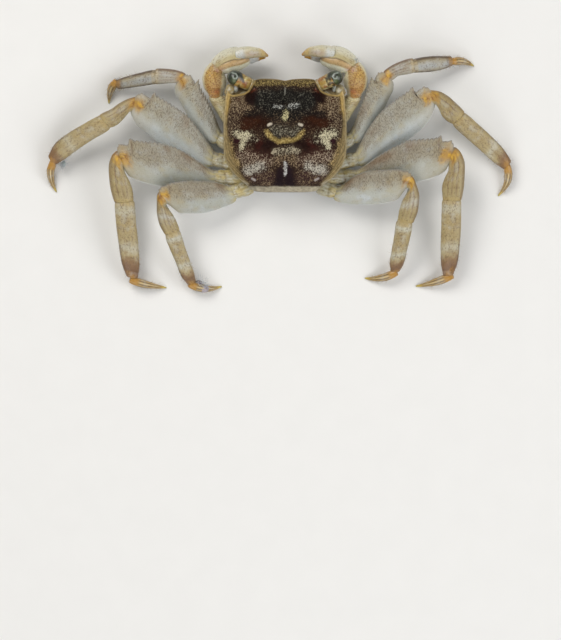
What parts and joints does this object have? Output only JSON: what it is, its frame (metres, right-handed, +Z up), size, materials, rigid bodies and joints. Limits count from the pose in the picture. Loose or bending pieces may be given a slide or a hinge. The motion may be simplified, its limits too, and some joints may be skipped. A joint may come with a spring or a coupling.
{
  "type": "crab specimen",
  "caption": "Squarish mangrove crab specimen lying on its belly, with its claws folded in front and its walking legs spread flat.",
  "frame": {"origin": "middle of the flat face of the folded tail plate that the crab rests on", "axes": "+X to the crab's left, -Y the way it faces, +Z up"},
  "size_m": [0.0935, 0.0493, 0.0136],
  "materials": {
    "back_shell": "granular dark shell mottled brown, cream and tan",
    "underside_shell": "smooth off-white shell",
    "mouth_shell": "smooth brown shell",
    "eyestalk": "glossy amber shell with brown flecks",
    "cornea": "glossy dark green-grey",
    "claw_shell": "satin cream and tan shell",
    "wrist_shell": "granular orange-brown shell",
    "upper_leg_shell": "grey-white shell with fine brown cross lines",
    "hip_shell": "smooth cream shell",
    "lower_leg_shell": "khaki shell with pale and brown bands",
    "leg_claw_shell": "amber shell with dark lengthwise lines"
  },
  "bodies": {
    "root": {"carapace": "back_shell", "sternum": "underside_shell", "pleon": "underside_shell", "mouthpart_left": "mouth_shell", "eyestalk_left": "eyestalk", "eye_left": "cornea", "claw_left_base": "underside_shell", "claw_left_merus": "claw_shell", "claw_left_wrist": "wrist_shell", "claw_left_palm": "claw_shell", "claw_left_finger": "claw_shell", "mouthpart_right": "mouth_shell", "eyestalk_right": "eyestalk", "eye_right": "cornea", "claw_right_base": "underside_shell", "claw_right_merus": "claw_shell", "claw_right_wrist": "wrist_shell", "claw_right_palm": "claw_shell", "claw_right_finger": "claw_shell", "leg_1_left_hip": "hip_shell", "leg_1_left_merus": "upper_leg_shell", "leg_1_left_carpus": "lower_leg_shell", "leg_1_left_propodus": "lower_leg_shell", "leg_1_left_dactylus": "leg_claw_shell", "leg_2_left_hip": "hip_shell", "leg_2_left_merus": "upper_leg_shell", "leg_2_left_carpus": "lower_leg_shell", "leg_2_left_propodus": "lower_leg_shell", "leg_2_left_dactylus": "leg_claw_shell", "leg_3_left_hip": "hip_shell", "leg_3_left_merus": "upper_leg_shell", "leg_3_left_carpus": "lower_leg_shell", "leg_3_left_propodus": "lower_leg_shell", "leg_3_left_dactylus": "leg_claw_shell", "leg_4_left_hip": "hip_shell", "leg_4_left_merus": "upper_leg_shell", "leg_4_left_carpus": "lower_leg_shell", "leg_4_left_propodus": "lower_leg_shell", "leg_4_left_dactylus": "leg_claw_shell", "leg_1_right_hip": "hip_shell", "leg_1_right_merus": "upper_leg_shell", "leg_1_right_carpus": "lower_leg_shell", "leg_1_right_propodus": "lower_leg_shell", "leg_1_right_dactylus": "leg_claw_shell", "leg_2_right_hip": "hip_shell", "leg_2_right_merus": "upper_leg_shell", "leg_2_right_carpus": "lower_leg_shell", "leg_2_right_propodus": "lower_leg_shell", "leg_2_right_dactylus": "leg_claw_shell", "leg_3_right_hip": "hip_shell", "leg_3_right_merus": "upper_leg_shell", "leg_3_right_carpus": "lower_leg_shell", "leg_3_right_propodus": "lower_leg_shell", "leg_3_right_dactylus": "leg_claw_shell", "leg_4_right_hip": "hip_shell", "leg_4_right_merus": "upper_leg_shell", "leg_4_right_carpus": "lower_leg_shell", "leg_4_right_propodus": "lower_leg_shell", "leg_4_right_dactylus": "leg_claw_shell"}
  },
  "joints": []
}
